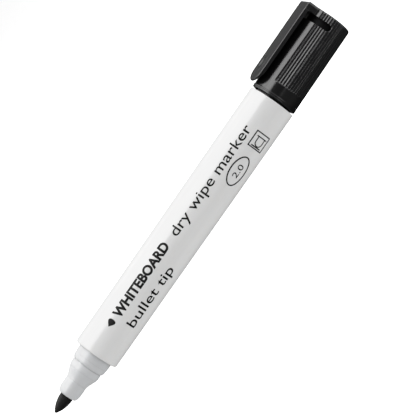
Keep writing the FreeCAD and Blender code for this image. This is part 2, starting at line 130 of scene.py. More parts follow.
def rounded(points):
    """A closed (x, r) loop with its corners rounded. Each point is (x, r) or
    (x, r, corner radius). Long straight runs get a support point near each end."""
    arc_step = 12.0
    outline = []
    for i, point in enumerate(points):
        corner = np.array(point[:2], float)
        radius = point[2] if len(point) > 2 else 0.0
        back = np.array(points[i - 1][:2], float) - corner
        ahead = np.array(points[(i + 1) % len(points)][:2], float) - corner
        back_len, ahead_len = np.linalg.norm(back), np.linalg.norm(ahead)
        if radius <= 0 or back_len < 1e-6 or ahead_len < 1e-6:
            outline.append(corner)
            continue
        back, ahead = back / back_len, ahead / ahead_len
        half = math.acos(float(np.clip(back @ ahead, -1, 1))) / 2
        if half > math.radians(89):
            outline.append(corner)
            continue
        # a radius too large for the sides beside it is reduced
        cut = min(radius / math.tan(half), 0.47 * back_len, 0.47 * ahead_len)
        radius = cut * math.tan(half)
        middle = (back + ahead) / np.linalg.norm(back + ahead)
        centre = corner + middle * (radius / math.sin(half))
        first, final = corner + back * cut - centre, corner + ahead * cut - centre
        angle = math.atan2(first[1], first[0])
        sweep = (math.atan2(final[1], final[0]) - angle + math.pi) % FULL_TURN - math.pi
        pieces = max(2, int(math.ceil(abs(math.degrees(sweep)) / arc_step)))
        for j in range(pieces + 1):
            t = angle + sweep * j / pieces
            outline.append(centre + radius * np.array([math.cos(t), math.sin(t)]))
    dense = []
    for i, here in enumerate(outline):
        there = outline[(i + 1) % len(outline)]
        dense.append(here)
        length = np.linalg.norm(there - here)
        if length > 0.5:
            along = (there - here) / length
            edge = min(0.12, length * 0.2)
            dense.append(here + along * edge)
            inner = max(1, int(length / 6.0))
            for j in range(1, inner):
                dense.append(here + along * length * j / inner)
            dense.append(there - along * edge)
    return [(float(x), max(0.0, float(r))) for x, r in dense]


def ring(count):
    """Equal angles round the pen, from +Z towards +Y."""
    return np.arange(count) * 2 * math.pi / count


def lathe(name, loop, material, angles=ring(144), warp=None, sharp=40.0):
    """Turns a closed (x, r) loop about the pen's axis into a closed mesh. Points with
    r 0 become poles. warp(x, r, angle) may change r."""
    verts, rows = [], []
    for x, r in loop:
        if r < 1e-6:
            rows.append([len(verts)])
            verts.append((x, 0.0, 0.0))
            continue
        row = []
        for t in angles:
            warped = warp(x, r, t) if warp else r
            row.append(len(verts))
            verts.append((x, warped * math.sin(t), warped * math.cos(t)))
        rows.append(row)
    faces = []
    for i, a in enumerate(rows):
        b = rows[(i + 1) % len(rows)]
        if len(a) == 1 and len(b) == 1:
            continue
        for j in range(len(angles)):
            k = (j + 1) % len(angles)
            if len(a) == 1:
                faces.append((a[0], b[j], b[k]))
            elif len(b) == 1:
                faces.append((a[j], b[0], a[k]))
            else:
                faces.append((a[j], b[j], b[k], a[k]))
    return make_object(name, verts, faces, material, sharp=sharp)


def turn_between(a, b):
    """The signed angle from b to a, the short way round."""
    return (a - b + math.pi) % FULL_TURN - math.pi


def rib_angles(count, half_angle):
    """Angles round the pen with a close pair at each side of every rib."""
    marks = []
    for k in range(count):
        for side in (-1, 1):
            edge = 2 * math.pi * k / count + side * half_angle
            marks += [edge, edge + side * half_angle * 0.35]
    angles = [t for t in ring(144) if all(abs(turn_between(t, m)) > 0.012 for m in marks)]
    return sorted(a % FULL_TURN for a in angles + marks)


def rib_radius(r, t, count, half_angle, rib_r):
    """r between the ribs; on a rib, the flat that lies rib_r from the axis."""
    k = round(t / (2 * math.pi) * count)
    off = abs(turn_between(t, 2 * math.pi * k / count))
    return rib_r / max(math.cos(off), 0.5) if off <= half_angle * 1.02 else r


# --- solids as distance functions, negative inside
def cut_round(a, b, r):
    """Intersection of two solids, their shared edge rounded with radius r."""
    outer = np.hypot(np.maximum(a + r, 0), np.maximum(b + r, 0))
    return np.minimum(-r, np.maximum(a, b)) + outer


def join_round(a, b, r):
    """Union of two solids with a fillet of radius r where they meet."""
    inner = np.hypot(np.maximum(r - a, 0), np.maximum(r - b, 0))
    return np.maximum(r, np.minimum(a, b)) - inner


def smooth(t):
    """A smooth step from 0 to 1 as t goes from 0 to 1."""
    t = np.clip(t, 0, 1)
    return t * t * (3 - 2 * t)


def notch(offset, width):
    """A bell curve, 1 where offset is 0."""
    return np.exp(-(offset / width) ** 2)


def stations(start, *runs):
    """Grid stations from start through runs of (stop, step)."""
    out = []
    for stop, step in runs:
        count = max(1, int(round((stop - start) / step)))
        out += [start + (stop - start) * i / count for i in range(count)]
        start = stop
    return np.array(out + [start])


def gradient(solid, points, reach):
    """The slope of a distance function, by differences reach to each side."""
    slope = np.zeros_like(points)
    for axis in range(3):
        step = np.zeros(3)
        step[axis] = reach
        hi, lo = points + step, points - step
        rise = solid(hi[:, 0], hi[:, 1], hi[:, 2]) - solid(lo[:, 0], lo[:, 1], lo[:, 2])
        slope[:, axis] = rise / (2 * reach)
    return slope


def nets(name, solid, grid, place, material, limits, polar=False):
    """Surface nets on a warped grid: one vertex in each cell the surface crosses, then
    each vertex is moved on to the surface. grid holds the three axes' stations and place
    turns them into x, y, z. polar says that the second axis closes on itself and the third
    starts on the pen's axis. limits are the part's least and greatest x, y, z."""
    na, nb, nc = (len(g) for g in grid)
    spots = np.stack(place(*np.meshgrid(*grid, indexing="ij")), -1)
    depth = solid(spots[..., 0], spots[..., 1], spots[..., 2])
    depth = np.where(np.abs(depth) < 1e-7, 1e-7, depth)
    filled = depth < 0
    cells_b = nb if polar else nb - 1

    def corner(values, di, dj, dk):
        """The values at one corner of every cell."""
        values = np.roll(values, -dj, axis=1) if dj else values
        return values[di:na - 1 + di, :cells_b, dk:nc - 1 + dk]

    corners = [(i, j, k) for i in (0, 1) for j in (0, 1) for k in (0, 1)]
    count = sum(corner(filled, *q).astype(np.int8) for q in corners)
    active = (count > 0) & (count < 8)
    found = int(active.sum())
    ids = -np.ones(active.shape, np.int64)
    ids[active] = np.arange(found)

    # each vertex starts at the mean of its cell's edge crossings
    value = {q: corner(depth, *q)[active] for q in corners}
    point = {q: corner(spots, *q)[active] for q in corners}
    total = np.zeros((found, 3))
    hits = np.zeros(found)
    for p in corners:
        for axis in range(3):
            if p[axis]:
                continue
            q = tuple(1 if n == axis else p[n] for n in range(3))
            v0, v1 = value[p], value[q]
            cross = (v0 < 0) != (v1 < 0)
            t = np.where(cross, v0 / np.where(cross, v0 - v1, 1), 0)
            crossing = point[p] + t[:, None] * (point[q] - point[p])
            total += np.where(cross[:, None], crossing, 0)
            hits += cross
    verts = total / hits[:, None]

    for _ in range(4):
        slope = gradient(solid, verts, 0.01)
        size = np.maximum((slope * slope).sum(1), 0.05)
        move = solid(verts[:, 0], verts[:, 1], verts[:, 2]) / size
        verts = verts - slope * np.clip(move, -0.15, 0.15)[:, None]
    verts = np.clip(verts, limits[0], limits[1])

    faces = []

    def quads(start, stop, cells):
        """A face for each grid edge whose ends differ. cells: the 4 cells round it."""
        change = start != stop
        q = np.stack([x[change] for x in cells], 1)
        q = np.where(start[change][:, None], q, q[:, ::-1])
        faces.extend(map(tuple, q[(q >= 0).all(1)].tolist()))

    lead = 0 if polar else 1
    here = ids[:, lead:]
    prev = np.roll(ids, 1, axis=1)[:, lead:]
    mid = filled[:, lead:nb - lead]
    # edges along the first axis, then the second, then the third
    quads(mid[:-1, :, 1:-1], mid[1:, :, 1:-1],
          (prev[:, :, :-1], here[:, :, :-1], here[:, :, 1:], prev[:, :, 1:]))
    beyond = np.roll(filled, -1, axis=1)
    quads(filled[1:-1, :cells_b, 1:-1], beyond[1:-1, :cells_b, 1:-1],
          (ids[:-1, :, :-1], ids[:-1, :, 1:], ids[1:, :, 1:], ids[1:, :, :-1]))
    quads(mid[1:-1, :, :-1], mid[1:-1, :, 1:], (prev[:-1], prev[1:], here[1:], here[:-1]))
    if polar:
        # a fan closes the surface wherever it crosses the pen's axis
        for i in range(na - 1):
            if filled[i, 0, 0] == filled[i + 1, 0, 0]:
                continue
            loop = [int(n) for n in ids[i, :, 0]]
            middle = verts[loop].mean(0)
            middle[1:] = 0
            pole = len(verts)
            verts = np.vstack([verts, middle])
            for a, b in zip(loop, loop[1:] + loop[:1]):
                faces.append((pole, a, b) if filled[i, 0, 0] else (pole, b, a))
    normals = gradient(solid, verts, 0.02)
    normals /= np.maximum(np.linalg.norm(normals, axis=1), 1e-9)[:, None]
    return make_object(name, verts, faces, material, normals=normals)


# --------------------------------------------------------------------- materials
def empty_tree(owner):
    """Turns on an owner's nodes and clears them."""
    owner.use_nodes = True
    owner.node_tree.nodes.clear()
    return owner.node_tree


def principled(name):
    mat = bpy.data.materials.new(name)
    tree = empty_tree(mat)
    out = tree.nodes.new("ShaderNodeOutputMaterial")
    shader = tree.nodes.new("ShaderNodeBsdfPrincipled")
    tree.links.new(shader.outputs[0], out.inputs[0])
    return mat, tree, shader


def noise(tree, scale, detail=3.0, stretch=(1, 1, 1), rough=0.5):
    """Noise in object space. A small first value in stretch draws it out along the pen."""
    coord = tree.nodes.new("ShaderNodeTexCoord")
    mapping = tree.nodes.new("ShaderNodeMapping")
    mapping.inputs["Scale"].default_value = stretch
    tex = tree.nodes.new("ShaderNodeTexNoise")
    tex.inputs["Scale"].default_value = scale
    tex.inputs["Detail"].default_value = detail
    tex.inputs["Roughness"].default_value = rough
    tree.links.new(coord.outputs["Object"], mapping.inputs["Vector"])
    tree.links.new(mapping.outputs[0], tex.inputs["Vector"])
    return tex.outputs["Fac"]


def ramp(tree, value, low, high, start=0.3, end=0.7):
    """low where value is start and high where it is end. Both may be numbers or sockets."""
    node = tree.nodes.new("ShaderNodeMapRange")
    node.inputs["From Min"].default_value = start
    node.inputs["From Max"].default_value = end
    for socket, level in (("To Min", low), ("To Max", high)):
        if isinstance(level, bpy.types.NodeSocket):
            tree.links.new(level, node.inputs[socket])
        else:
            node.inputs[socket].default_value = level
    tree.links.new(value, node.inputs["Value"])
    return node.outputs["Result"]


def pick(tree, factor, low, high):
    """low where factor is 0 and high where it is 1."""
    return ramp(tree, factor, low, high, start=0.0, end=1.0)


def tint(tree, value, dark, light):
    node = tree.nodes.new("ShaderNodeMix")
    node.data_type = "RGBA"
    node.inputs[6].default_value = (*dark, 1)
    node.inputs[7].default_value = (*light, 1)
    tree.links.new(value, node.inputs[0])
    return node.outputs[2]


def bump(tree, shader, layers):
    """Stacks bumps. layers: list of (height, strength, distance)."""
    last = None
    for height, strength, distance in layers:
        node = tree.nodes.new("ShaderNodeBump")
        node.inputs["Strength"].default_value = strength
        node.inputs["Distance"].default_value = distance
        tree.links.new(height, node.inputs["Height"])
        if last is not None:
            tree.links.new(last, node.inputs["Normal"])
        last = node.outputs["Normal"]
    tree.links.new(last, shader.inputs["Normal"])


def painted_crevice_shade(tree, colour, reach, strength, shade_tint):
    """Painted shade: darkens a colour towards a dark shade tint where another surface is
    within reach, so seams and grooves look shaded.
    """
    near = tree.nodes.new("ShaderNodeAmbientOcclusion")
    near.inputs["Distance"].default_value = reach
    near.samples = 8
    node = tree.nodes.new("ShaderNodeMix")
    node.data_type = "RGBA"
    shade = ramp(tree, near.outputs["AO"], low=strength, high=0.0, start=0.15, end=0.93)
    tree.links.new(shade, node.inputs[0])
    tree.links.new(colour, node.inputs[6])
    node.inputs[7].default_value = (*shade_tint, 1)
    return node.outputs[2]


def moulded(name, dark, light, rough, grain, flow=0.0, mottle=0.0, sss=0.0, coat=0.0,
            crevice_shade=0.0, reach=0.0010, gloss=0.5):
    """Injection-moulded plastic: faint flow streaks along the pen, a fine grain and a
    roughness that varies in patches. grain, flow and mottle are bump strengths, the shade
    strength is how much painted shade darkens the colour in crevices within reach, and gloss
    is the specular level."""
    grain_depth, mottle_depth, flow_depth = 0.00002, 0.00005, 0.00008
    mat, tree, shader = principled(name)
    streak = noise(tree, scale=260.0, detail=4.0, stretch=(0.12, 1.0, 1.0), rough=0.55)
    colour = tint(tree, ramp(tree, streak, low=0, high=1, start=0.35, end=0.65), dark, light)
    # painted shade: the colour darkens where another surface is near, in seams and grooves
    if crevice_shade:
        colour = painted_crevice_shade(tree, colour, reach, crevice_shade, shade_tint=tuple(c * 0.35 for c in dark))
    tree.links.new(colour, shader.inputs["Base Color"])
    patch = noise(tree, scale=160.0, stretch=(0.5, 1.0, 1.0), rough=0.6)
    patch_rough = ramp(tree, patch, low=rough * 0.88, high=rough * 1.14)
    tree.links.new(patch_rough, shader.inputs["Roughness"])
    layers = [(noise(tree, scale=9000.0, detail=2.0), grain, grain_depth)]
    if mottle:
        layers.append((noise(tree, scale=2300.0, detail=2.0, rough=0.6), mottle, mottle_depth))
    if flow:
        waves = noise(tree, scale=420.0, detail=2.0, stretch=(0.1, 1.0, 1.0))
        layers.append((waves, flow, flow_depth))
    bump(tree, shader, layers)
    shader.inputs["IOR"].default_value = 1.5
    shader.inputs["Specular IOR Level"].default_value = gloss
    if sss:
        shader.inputs["Subsurface Weight"].default_value = sss
        shader.inputs["Subsurface Radius"].default_value = (0.0012, 0.0011, 0.0010)
        shader.inputs["Subsurface Scale"].default_value = 1.0
    if coat:
        shader.inputs["Coat Weight"].default_value = coat
        shader.inputs["Coat Roughness"].default_value = 0.12
    return mat


def fibre(name, dark, light, along, scale, sheen):
    """Pressed or bonded fibre, wet with ink. Its strands run along the pen; the smaller
    along is, the longer they are."""
    strand_strength, strand_depth = 0.6, 0.00012
    clump_strength, clump_depth = 0.42, 0.0002
    mat, tree, shader = principled(name)
    strands = noise(tree, scale=scale, detail=5.0, stretch=(along, 1.0, 1.0), rough=0.7)
    clumps = noise(tree, scale=scale * 0.28, stretch=(0.35, 1.0, 1.0), rough=0.6)
    colour = tint(tree, ramp(tree, strands, low=0, high=1), dark, light)
    tree.links.new(colour, shader.inputs["Base Color"])
    tree.links.new(ramp(tree, clumps, low=0.7176, high=0.966), shader.inputs["Roughness"])
    bump(tree, shader, [(strands, strand_strength, strand_depth),
                        (clumps, clump_strength, clump_depth)])
    shader.inputs["Sheen Weight"].default_value = sheen
    shader.inputs["Sheen Roughness"].default_value = 0.5
    shader.inputs["Specular IOR Level"].default_value = 0.35
    return mat


# both white plastics carry painted shade in their crevices and seams
WHITE = moulded("white_barrel_plastic", dark=(0.835, 0.835, 0.83), light=(0.87, 0.87, 0.865),
                rough=0.24, grain=0.12, flow=0.10, sss=0.12, coat=0.2, crevice_shade=0.9, reach=0.0018)
TIP_WHITE = moulded("white_tip_plastic", dark=(0.67, 0.68, 0.69), light=(0.70, 0.71, 0.72),
                    rough=0.33, grain=0.16, flow=0.08, sss=0.15, crevice_shade=0.8)
BLACK = moulded("black_cap_plastic", dark=(0.0105, 0.0105, 0.0110),
                light=(0.0150, 0.0150, 0.0155), rough=0.20, grain=0.20, flow=0.08, mottle=0.20)
BLACK_DULL = moulded("black_inner_plastic", dark=(0.005, 0.005, 0.0055),
                     light=(0.008, 0.008, 0.0085), rough=0.6, grain=0.3, gloss=0.12)
BLACK_PLUG = moulded("black_plug_plastic", dark=(0.010, 0.010, 0.0105),
                     light=(0.015, 0.015, 0.0155), rough=0.38, grain=0.3)
NIB_INK = fibre("inked_nib_fibre", dark=(0.0025, 0.0025, 0.0025), light=(0.012, 0.012, 0.012),
                along=0.08, scale=2600.0, sheen=0.12)
CORE_INK = fibre("inked_reservoir_fibre", dark=(0.006, 0.006, 0.007),
                 light=(0.035, 0.035, 0.04), along=0.03, scale=1800.0, sheen=0.25)
FILM = moulded("film_plastic", dark=(0.55, 0.56, 0.57), light=(0.66, 0.67, 0.68),
               rough=0.16, grain=0.05, flow=0.3)
INK = moulded("black_print_ink", dark=(0.006, 0.006, 0.006), light=(0.011, 0.011, 0.011),
              rough=0.55, grain=0.2, gloss=0.2)


# ----------------------------------------------------------------- turned pieces
# Every profile below is a table of (x, r) or (x, r, corner radius).
BAR_RIBS, BAR_RIB_R = 6, 6.10
BAR_RIB_ANGLE = 0.4 / 6.3           # half width over radius
BAR_RIB_X0, BAR_RIB_X1 = BAR_X0 + 15.2, BAR_X0 + 85.2


def barrel_r(x):
    """Outer radius of the drafted barrel at x."""
    return BAR_R0 + (BAR_R1 - BAR_R0) * (x - BAR_X0) / (BAR_X1 - BAR_X0)


def barrel_warp(x, r, t):
    """Six ribs stand on the bore."""
    if not (BAR_RIB_X0 - 0.001 <= x <= BAR_RIB_X1 + 0.001) or r >= 6.6:
        return r
    return rib_radius(r, t, BAR_RIBS, BAR_RIB_ANGLE, BAR_RIB_R)


def add_barrel():
    profile = at(BAR_X0, [(0, 5.73, 0.1), (0, BAR_R0, 0.6)])
    profile += at(BAR_X1, [(0, BAR_R1, 0.3), (0, 6.95, 0.15), (-1.8, 6.95), (-1.8, 6.55, 0.1)])
    profile += at(BAR_X0, [
        (85.25, 6.53), (85.2, 6.53), (15.2, 6.46), (15.15, 6.46),
        (11.2, 6.45), (10.1, 5.73), (7.1, 5.73), (6.2, 5.88), (5.3, 5.73),
    ])
    barrel = lathe("barrel_shell", rounded(profile), WHITE, warp=barrel_warp,
                   angles=rib_angles(BAR_RIBS, BAR_RIB_ANGLE), sharp=32)
    register(barrel, "barrel")


TIP_PROFILE = at(TIP_X0, [
    (0, 2.27, 0.12), (0, 2.95, 0.25), (0.35, 3.24), (0.85, 3.45), (1.4, 3.59), (2.1, 3.70),
    (2.9, 3.72), (5.16, 3.72), (5.22, 3.67), (5.30, 3.67), (5.38, 3.735), (5.75, 3.80),
    (6.25, 3.94), (6.9, 4.20), (8.0, 4.66), (8.72, 4.96, 0.5),
    (8.95, 5.03), (9.00, 4.99), (9.10, 5.03), (9.16, 5.10), (9.8, 5.21), (11.15, 5.25, 0.1),
    (11.38, 5.10, 0.04), (11.52, 5.10, 0.04), (11.66, 5.42, 0.2), (12.0, 5.60),
    (12.45, 5.73, 0.6), (13.1, 5.80), (13.42, 5.84), (13.47, 5.80), (13.55, 5.80),
    (13.60, 5.86), (14.3, 5.95, 0.8), (16.2, 5.95, 0.06),
    (16.2, 5.70), (21.5, 5.70), (22.4, 5.85), (23.3, 5.70), (27.4, 5.70, 0.3),
    # the bore, back towards the nib
    (27.4, 4.45, 0.1), (26.45, 4.45), (26.4, 4.45), (13.0, 4.45, 0.3), (10.6, 2.62, 0.2),
    (10.5, 2.62), (1.3, 2.62), (1.0, 2.27),
])
TIP_RIBS, TIP_RIB_R = 4, 2.27
TIP_RIB_ANGLE = 0.4 / 2.4           # half width over radius


def tip_warp(x, r, t):
    """Four ribs stand on the inner wall and hold the nib; the outside is left alone."""
    wall = 2.7 if x < TIP_X0 + 10.55 else 4.46
    if not (2.5 < r < wall and TIP_X0 + 1.28 <= x <= TIP_X0 + 26.42):
        return r
    return rib_radius(r, t, TIP_RIBS, TIP_RIB_ANGLE, TIP_RIB_R)


def add_nib_holder():
    tip = lathe("nib_holder", rounded(TIP_PROFILE), TIP_WHITE, warp=tip_warp,
                angles=rib_angles(TIP_RIBS, TIP_RIB_ANGLE), sharp=36)
    register(tip, "front_section")


NOSE_R, NOSE_END = 0.573, 0.26      # the nib's small round nose
FLANK_R, FLANK_END = 10.85, 6.2     # the long arc that runs from it to full width
NIB_STATIONS = [0.0, 0.02, 0.06, 0.12, 0.19, NOSE_END, *np.linspace(0.4, FLANK_END, 30),
                6.6, 8, 12, 16, 20, 24, 28, 32, 36]
rng = np.random.default_rng(7)
# (waves round the nib, phase, twist along it), then (waves round the core, phase)
STRANDS = [(float(rng.integers(9, 60)), float(rng.uniform(0, 6.28)),
            float(rng.uniform(-0.25, 0.25))) for _ in range(14)]
FLUFF = [(float(rng.integers(14, 48)), float(rng.uniform(0, 6.28))) for _ in range(10)]


def bullet(x):
    """The nib's radius at x from its apex."""
    if x < NOSE_END:
        return math.sqrt(2 * NOSE_R * x - x * x)
    if x < FLANK_END:
        return NIB_R - FLANK_R + math.sqrt(FLANK_R ** 2 - (FLANK_END - x) ** 2)
    return NIB_R


def nib_warp(x, r, t):
    """Strands of the pressed fibre stand a few hundredths proud of the point."""
    if x > 6.5 or r < 0.15:
        return r
    wave = sum(math.sin(n * t + phase + x * twist * 6) for n, phase, twist in STRANDS)
    return r - 0.016 + 0.045 * (wave / len(STRANDS)) * min(1.0, r / 1.2)


def add_nib():
    profile = [(NIB_X0 + x, bullet(x)) for x in NIB_STATIONS]
    profile += at(NIB_X1, [(-0.55, NIB_R), (-0.4, NIB_R), (0, NIB_R - 0.4),
                           (0, NIB_R - 0.6), (0, 0.0)])
    nib = lathe("felt_nib", profile, NIB_INK, angles=ring(180), warp=nib_warp, sharp=50)
    register(nib, "nib")


def core_warp(x, r, t):
    """The reservoir's outside is slightly uneven."""
    if r < 5.5:
        return r
    return r - 0.02 + 0.02 * sum(math.sin(n * t + phase) for n, phase in FLUFF) / len(FLUFF)


def add_reservoir():
    """The ink core, with a blind bore that takes the nib, and the film round it."""
    bore_end, bore_r, film_bore_r = CORE_X0 + 5.4, 2.27, 5.91
    profile = [(CORE_X0, bore_r, 0.1), (CORE_X0, CORE_R, 0.25), (CORE_X1, CORE_R, 0.25),
               (CORE_X1, 0.0), (bore_end, 0.0), (bore_end, bore_r)]
    core = lathe("ink_reservoir", rounded(profile), CORE_INK, warp=core_warp)
    register(core, "reservoir_core")
    profile = [(FILM_X0, film_bore_r, 0.03), (FILM_X0, FILM_R, 0.03),
               (FILM_X1, FILM_R, 0.03), (FILM_X1, film_bore_r, 0.03)]
    film = lathe("reservoir_sleeve", rounded(profile), FILM)
    register(film, "reservoir_film")


def add_tail_plug():
    profile = at(PLUG_X0, [
        (0, 4.85, 0.1), (0, 5.92), (0.5, 6.42, 0.15), (2.0, 6.42, 0.1), (2.0, 6.15),
        (3.8, 6.15), (3.8, 6.42, 0.1), (7.1, 6.42), (7.1, FLANGE_R, 0.1),
        (8.7, FLANGE_R, 0.15), (8.7, 5.95, 0.12),
    ])
    profile += at(PLUG_X1, [(0, 5.95, 0.8), (0, 3.2, 0.15), (-0.3, 2.9, 0.15), (-0.3, 0.0),
                            (-1.2, 0.0), (-1.2, 4.85, 0.3)])
    register(lathe("tail_plug", rounded(profile), BLACK_PLUG), "end_plug")


def add_cap_liner():
    """The cup inside the cap that seals over the nib holder."""
    profile = at(LINER_X0, [(15.2, 0.0), (15.2, 5.30, 0.2)])
    profile += [(LINER_X1, 5.30, 0.15), (LINER_X1, LINER_R, 0.15)]
    profile += at(LINER_X0, [
        (0, LINER_R, 0.4), (0, 5.30, 0.2), (14.0, 5.30, 0.15), (14.0, 4.90, 0.15),
        (0.8, 4.90, 0.15), (0.8, 4.55, 0.1), (1.6, 3.76, 0.25), (3.4, 3.76, 0.25),
        (3.8, 4.0, 0.2), (14.0, 4.0, 0.4), (14.0, 0.0),
    ])
    liner = lathe("cap_seal_cup", rounded(profile), BLACK_DULL)
    register(liner, "inner_cap", rides="cap_liner")


# --------------------------------------------------------------------------- cap
HEAD_X = CAP_X1 - 2.75              # the square head's face towards the nib
WINDOW_X = CAP_X1 - 5.0             # the window runs from here to the head
WINDOW_R = (HEAD_X - WINDOW_X) / 2
WINDOW_MID = WINDOW_X + WINDOW_R
BODY_X0, BODY_X1 = CAP_X0 + 1.3, CAP_X1 - 0.7
BODY_R0, BODY_R1 = RIM_R - 0.11, RIM_R - 0.40
FLUTES = 37
FIRST_FLUTE = math.radians(52.6)    # from +Z towards +Y
FLUTE_PITCH = math.radians(251.784 / (FLUTES - 1))
FLUTE_X0, FLUTE_RUN_IN = CAP_X0 + 4.8, 0.6
FLUTE_DEPTH, SHOULDER_DEPTH = 0.232, 0.065
VEE_SHARPNESS = 0.992               # 1 would give a knife-sharp V
MOUTH_R, MOUTH_END = 6.85, CAP_X0 + 9.5
SEAT_R, SEAT_END = 6.25, CAP_X1 - 1.5
CAP_RIB_STEP = math.pi / 4          # eight ribs in the mouth
CAP_RIB_HALF, CAP_RIB_R, CAP_RIB_ROOT_R = 0.5, 6.0, 7.2
CAP_RIB_X0, CAP_RIB_X1 = CAP_X0 + 0.9, CAP_X0 + 9.3
BRIDGE_HALF, BRIDGE_Z, BRIDGE_HALF_Z = 0.75, 6.925, 0.625


def flute_cut(t):
    """Depth of the flutes at angle t: V-shaped with flat flanks, a short steep shoulder
    at each edge and a narrow land between."""
    turn = (t % FULL_TURN) - FIRST_FLUTE
    pitches = turn / FLUTE_PITCH
    off = np.abs(pitches - np.round(pitches))
    wave = np.arcsin(VEE_SHARPNESS * np.cos(2 * math.pi * off))
    vee = 0.5 + wave / (2 * math.asin(VEE_SHARPNESS))
    shoulder = 1 - smooth((off - 0.43) / 0.05)
    cut = FLUTE_DEPTH * vee + SHOULDER_DEPTH * shoulder
    plain = (turn < -FLUTE_PITCH / 2) | (turn > (FLUTES - 0.5) * FLUTE_PITCH)
    return np.where(plain, 0.0, cut)


def cap_outer(x, t):
    """Outer radius of the cap at x and angle t: a rim band with a lip and a fine groove,
    then the drafted body with its flutes, which start bluntly."""
    s = x - CAP_X0
    band = RIM_R - 0.035 * (1 - smooth((s - 0.70) / 0.2)) - 0.085 * notch(s - 0.63, 0.10)
    draft = BODY_R0 - (BODY_R0 - BODY_R1) * (x - BODY_X0) / (BODY_X1 - BODY_X0)
    body = draft - 0.03 * notch(s - 1.36, 0.10)
    outer = band + (body - band) * smooth((s - 1.05) / 0.2)
    return outer - smooth((x - FLUTE_X0) / FLUTE_RUN_IN) * flute_cut(t)


def cap_solid(x, y, z):
    r = np.hypot(y, z)
    t = np.arctan2(y, z)
    shell = cut_round(cut_round(r - cap_outer(x, t), x - CAP_X1, 0.75), CAP_X0 - x, 0.5)
    # the square head that carries the clip
    box = cut_round(np.abs(y) - CLIP_HALF, z - HEAD_Z, 0.35)
    box = cut_round(box, x - CAP_X1, 0.9)
    box = cut_round(box, HEAD_X - x, 0.03)
    box = np.maximum(box, -z)
    shell = join_round(shell, box, 0.35)
    shell = np.maximum(shell, x - CAP_X1)
    # the inside: wide mouth, then the inner cap's seat
    mouth = cut_round(r - MOUTH_R, x - MOUTH_END, 0.2)
    seat = cut_round(r - SEAT_R, x - SEAT_END, 0.3)
    shell = cut_round(shell, -join_round(mouth, seat, 0.15), 0.22)
    rib_side = (t - np.round(t / CAP_RIB_STEP) * CAP_RIB_STEP) * r
    rib = cut_round(np.abs(rib_side) - CAP_RIB_HALF, CAP_RIB_R - r, 0.15)
    rib = cut_round(rib, r - CAP_RIB_ROOT_R, 0.05)
    rib = cut_round(cut_round(rib, CAP_RIB_X0 - x, 0.25), x - CAP_RIB_X1, 0.25)
    shell = join_round(shell, rib, 0.12)
    # the window: a round-bottomed slot from side to side, open towards +Z
    window = np.hypot(x - WINDOW_MID, np.minimum(z - (WINDOW_R - 0.4), 0)) - WINDOW_R
    shell = cut_round(shell, -window, 0.12)
    # a bridge of the wall stays across the window
    bridge = cut_round(np.abs(y) - BRIDGE_HALF, np.abs(z - BRIDGE_Z) - BRIDGE_HALF_Z, 0.12)
    bridge = np.maximum(bridge, np.abs(x - WINDOW_MID) - WINDOW_R - 0.15)
    return np.minimum(shell, bridge)


def add_cap():
    along = stations(
        CAP_X0 - 0.13, (CAP_X0 + 1.6, 0.075), (CAP_X0 + 4.6, 0.75), (CAP_X0 + 5.6, 0.14),
        (CAP_X0 + 8.8, 1.6), (CAP_X0 + 10.0, 0.15), (WINDOW_X - 0.45, 1.8),
        (HEAD_X - 0.05, 0.12), (HEAD_X + 0.07, 0.04), (HEAD_X + 0.45, 0.12),
        (CAP_X1 - 0.85, 0.2), (CAP_X1 + 0.2, 0.105))
    # nine angles to a flute, in pitches from its middle, then an even plain stretch
    in_flute = (-0.5, -0.475, -0.43, -0.14, -0.03, 0.03, 0.14, 0.43, 0.475)
    around = [FIRST_FLUTE + (k + j) * FLUTE_PITCH for k in range(FLUTES) for j in in_flute]
    plain_start = FIRST_FLUTE + (FLUTES - 0.5) * FLUTE_PITCH
    plain, steps = 2 * math.pi - FLUTES * FLUTE_PITCH, 54
    around += [plain_start + plain * j / steps for j in range(steps)]
    outwards = stations(0.0, (5.6, 2.8), (7.2, 0.15), (8.25, 0.0808), (11.75, 0.2))
    cap = nets("cap_body", cap_solid, (along, np.array(around), outwards),
               lambda x, t, r: (x, r * np.sin(t), r * np.cos(t)), BLACK,
               limits=((CAP_X0, -RIM_R, -RIM_R), (CAP_X1, RIM_R, HEAD_Z)), polar=True)
    register(cap, "cap_shell", rides="cap")


# -------------------------------------------------------------------------- clip
ROUND_X = CAP_X1 - 26.8             # the blade's free end is half an ellipse from here
BEAD_X, BEAD_Z = CAP_X1 - 25.6, HEAD_Z - 1.18
BEAD_R, BEAD_HALF = 0.6, 3.3
DISH_X = CAP_X1 - 24.4
DISH_R, DISH_DEPTH = 2.65, 0.36
DISH_BALL_R = (DISH_R ** 2 + DISH_DEPTH ** 2) / (2 * DISH_DEPTH)
DISH_FLOOR = HEAD_Z - 0.1 - DISH_DEPTH
BUTTON_R, BUTTON_HEIGHT = 1.25, 0.16


